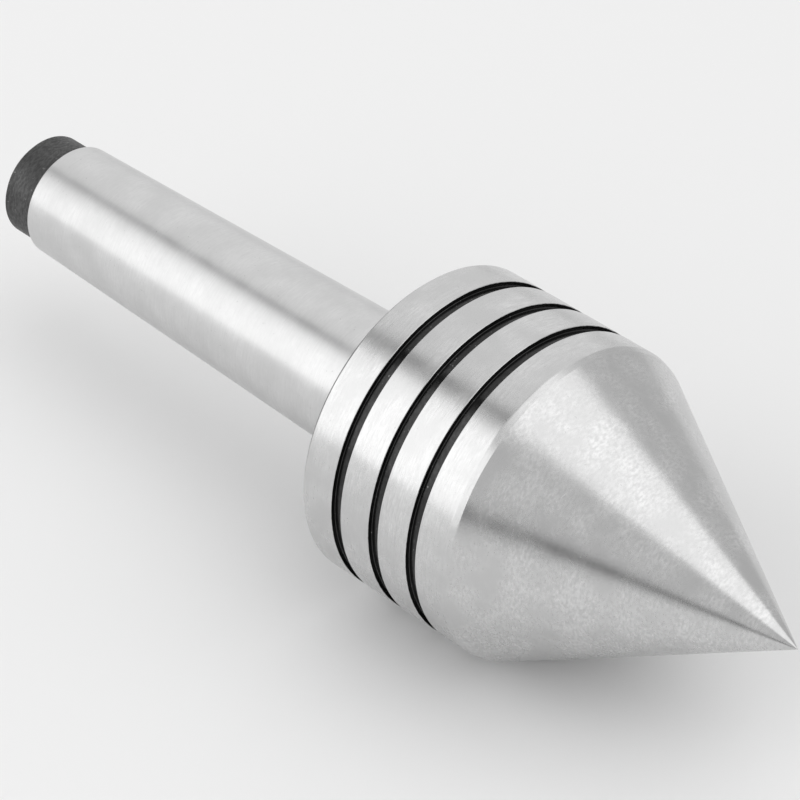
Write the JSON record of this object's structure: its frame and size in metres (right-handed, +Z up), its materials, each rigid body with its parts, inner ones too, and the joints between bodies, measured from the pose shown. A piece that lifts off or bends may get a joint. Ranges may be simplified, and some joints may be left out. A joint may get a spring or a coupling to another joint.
{
  "type": "live center",
  "caption": "Revolving tailstock centre: Morse taper shank with a freely turning bull-nose head, a grooved cylinder ending in a 60 degree point.",
  "frame": {"origin": "centre of the Morse taper's gauge plane, on the spin axis", "axes": "+X along the spin axis, from the shank towards the point; +Z up"},
  "size_m": [0.1266, 0.04, 0.04],
  "materials": {
    "ground_steel": "fine ground taper, black unground relief at the tail",
    "turned_steel": "fine turned and ground, satin",
    "bearing_steel": "ground and honed",
    "polished_steel": "lapped mirror",
    "pressed_steel": "rolled strip, satin",
    "spring_steel": "phosphated",
    "black_oxide": "black oxide, semi-matte",
    "cage_brass": "machined brass",
    "felt": "oiled wool felt"
  },
  "bodies": {
    "shank_body": {"shank": "ground_steel", "rear_bearing_inner_ring": "bearing_steel", "spindle_circlip": "spring_steel", "thrust_shaft_washer": "bearing_steel"},
    "head_body": {"nose_head": "turned_steel", "rear_ring_nut": "black_oxide", "felt_seal": "felt", "rear_bearing_outer_ring": "bearing_steel", "rear_shield": "pressed_steel", "front_shield": "pressed_steel", "thrust_housing_washer": "bearing_steel", "needle_cup": "pressed_steel"},
    "rear_cage_body": {"rear_bearing_balls": "polished_steel", "rear_cage_half": "pressed_steel", "front_cage_half": "pressed_steel", "cage_rivets": "pressed_steel"},
    "thrust_cage_body": {"thrust_balls": "polished_steel", "thrust_cage": "cage_brass"},
    "needle_cage_body": {"needles": "polished_steel", "needle_cage": "pressed_steel"}
  },
  "joints": [
    {"name": "head_spin", "type": "hinge", "parent": "shank_body", "child": "head_body", "pos_m": [0.02, 0, 0], "axis": [1, 0, 0], "continuous": true},
    {"name": "rear_cage_spin", "type": "hinge", "parent": "shank_body", "child": "rear_cage_body", "pos_m": [0.013, 0, 0], "axis": [1, 0, 0], "continuous": true},
    {"name": "thrust_cage_spin", "type": "hinge", "parent": "shank_body", "child": "thrust_cage_body", "pos_m": [0.024, 0, 0], "axis": [1, 0, 0], "continuous": true},
    {"name": "needle_cage_spin", "type": "hinge", "parent": "shank_body", "child": "needle_cage_body", "pos_m": [0.0345, 0, 0], "axis": [1, 0, 0], "continuous": true}
  ],
  "couplings": [
    {"joint": "rear_cage_spin", "follows": "head_spin", "ratio": 0.60132},
    {"joint": "thrust_cage_spin", "follows": "head_spin", "ratio": 0.5},
    {"joint": "needle_cage_spin", "follows": "head_spin", "ratio": 0.56261}
  ]
}
